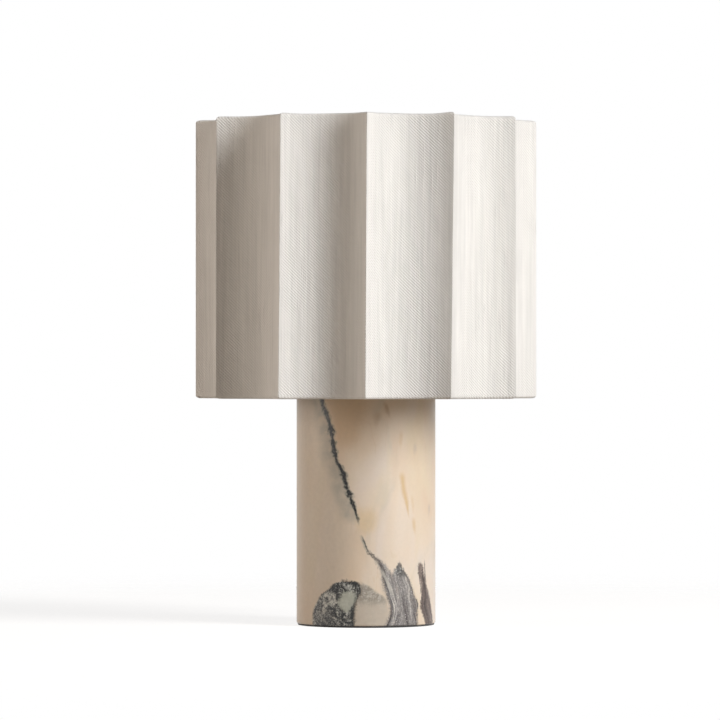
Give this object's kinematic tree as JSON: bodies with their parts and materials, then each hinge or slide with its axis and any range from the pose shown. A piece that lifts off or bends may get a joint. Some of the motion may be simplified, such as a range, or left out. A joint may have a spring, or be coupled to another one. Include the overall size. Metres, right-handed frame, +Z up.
{
  "type": "column table lamp",
  "caption": "Table lamp with a round stone column and a fluted drum shade of hollow cloth panels, carried on a harp.",
  "frame": {"origin": "centre of the felt's underside, on the lamp's axis", "axes": "+Z up along the column, -Y to the front with the switch knob, +Y to the back with the cord inlet"},
  "size_m": [0.305, 0.305, 0.45],
  "materials": {
    "shade_fabric": "off-white 2/2 twill with slubs, matt",
    "shade_liner": "white styrene sheet",
    "marble": "honed cream marble with grey-violet veins",
    "felt": "black pressed felt",
    "steel": "zinc-plated steel, brushed",
    "white_steel": "white powder coat",
    "brass": "turned brass, satin",
    "cover_plastic": "black moulded plastic",
    "core_plastic": "dark moulded phenolic",
    "card": "brown insulating fibre",
    "lead_black": "black wire insulation",
    "lead_white": "white wire insulation",
    "block_plastic": "natural nylon",
    "aluminium": "spun aluminium",
    "bulb_plastic": "white moulded plastic",
    "bulb_diffuser": "opal diffuser",
    "bulb_glass": "black vitrite",
    "board_white": "white solder resist with pale yellow emitters",
    "board_green": "green circuit board"
  },
  "bodies": {
    "lamp_body": {"marble_column": "marble", "base_felt": "felt", "base_cover": "cover_plastic", "cord_bushing": "cover_plastic", "lamp_tube": "steel", "bottom_washer": "steel", "lock_washer": "steel", "bottom_nut": "steel", "terminal_block": "block_plastic", "block_screws": "steel", "lead_live": "lead_black", "lead_neutral": "lead_white", "seat_disc": "brass", "neck": "brass", "harp_saddle": "brass", "harp_wire": "brass", "harp_top_plate": "brass", "socket_cap": "brass", "socket_shell": "brass", "socket_liner": "card", "socket_core": "core_plastic", "screw_shell": "aluminium", "centre_contact": "brass", "terminal_screw_live": "brass", "terminal_screw_neutral": "steel"},
    "sleeve_left": {"harp_sleeve_left": "brass"},
    "sleeve_right": {"harp_sleeve_right": "brass"},
    "switch": {"switch_shaft": "brass", "switch_knob": "core_plastic"},
    "stud": {"harp_stud": "brass"},
    "shade": {"shade_fabric": "shade_fabric", "shade_liner": "shade_liner", "shade_top_ring": "white_steel", "shade_bottom_ring": "white_steel", "spider_hub": "white_steel", "spider_arm_front": "white_steel", "spider_arm_left": "white_steel", "spider_arm_right": "white_steel"},
    "finial_carrier": {"finial_washer": "brass"},
    "finial_knob": {"finial": "brass"},
    "bulb_carrier": {"bulb_tip": "steel"},
    "bulb": {"bulb_insulator": "bulb_glass", "bulb_cap": "aluminium", "bulb_housing": "bulb_plastic", "bulb_driver": "board_green", "bulb_led_board": "board_white", "bulb_dome": "bulb_diffuser"}
  },
  "joints": [
    {"name": "sleeve_left_slide", "type": "slide", "parent": "lamp_body", "child": "sleeve_left", "axis": [0, 0, 1], "range_m": [0, 0.018]},
    {"name": "sleeve_right_slide", "type": "slide", "parent": "lamp_body", "child": "sleeve_right", "axis": [0, 0, 1], "range_m": [0, 0.018]},
    {"name": "switch_turn", "type": "hinge", "parent": "lamp_body", "child": "switch", "pos_m": [0, -0.022, 0.276], "axis": [0, -1, 0], "continuous": true},
    {"name": "shade_turn", "type": "hinge", "parent": "lamp_body", "child": "stud", "pos_m": [0, 0, 0.423], "axis": [0, 0, 1], "continuous": true},
    {"name": "shade_lift", "type": "slide", "parent": "stud", "child": "shade", "axis": [0, 0, 1], "range_m": [0, 0.24]},
    {"name": "finial_rise", "type": "slide", "parent": "shade", "child": "finial_carrier", "axis": [0, 0, 1], "range_m": [0, 0.008]},
    {"name": "finial_turn", "type": "hinge", "parent": "finial_carrier", "child": "finial_knob", "pos_m": [0, 0, 0.43], "axis": [0, 0, 1], "range_deg": [0, 3060]},
    {"name": "bulb_rise", "type": "slide", "parent": "lamp_body", "child": "bulb_carrier", "axis": [0, 0, 1], "range_m": [0, 0.0255]},
    {"name": "bulb_turn", "type": "hinge", "parent": "bulb_carrier", "child": "bulb", "pos_m": [0, 0, 0.3], "axis": [0, 0, 1], "range_deg": [0, 2520]}
  ],
  "couplings": [
    {"joint": "bulb_rise", "follows": "bulb_turn", "m_per_rad": 0.00057751},
    {"joint": "finial_rise", "follows": "finial_turn", "m_per_rad": 0.00014972}
  ]
}
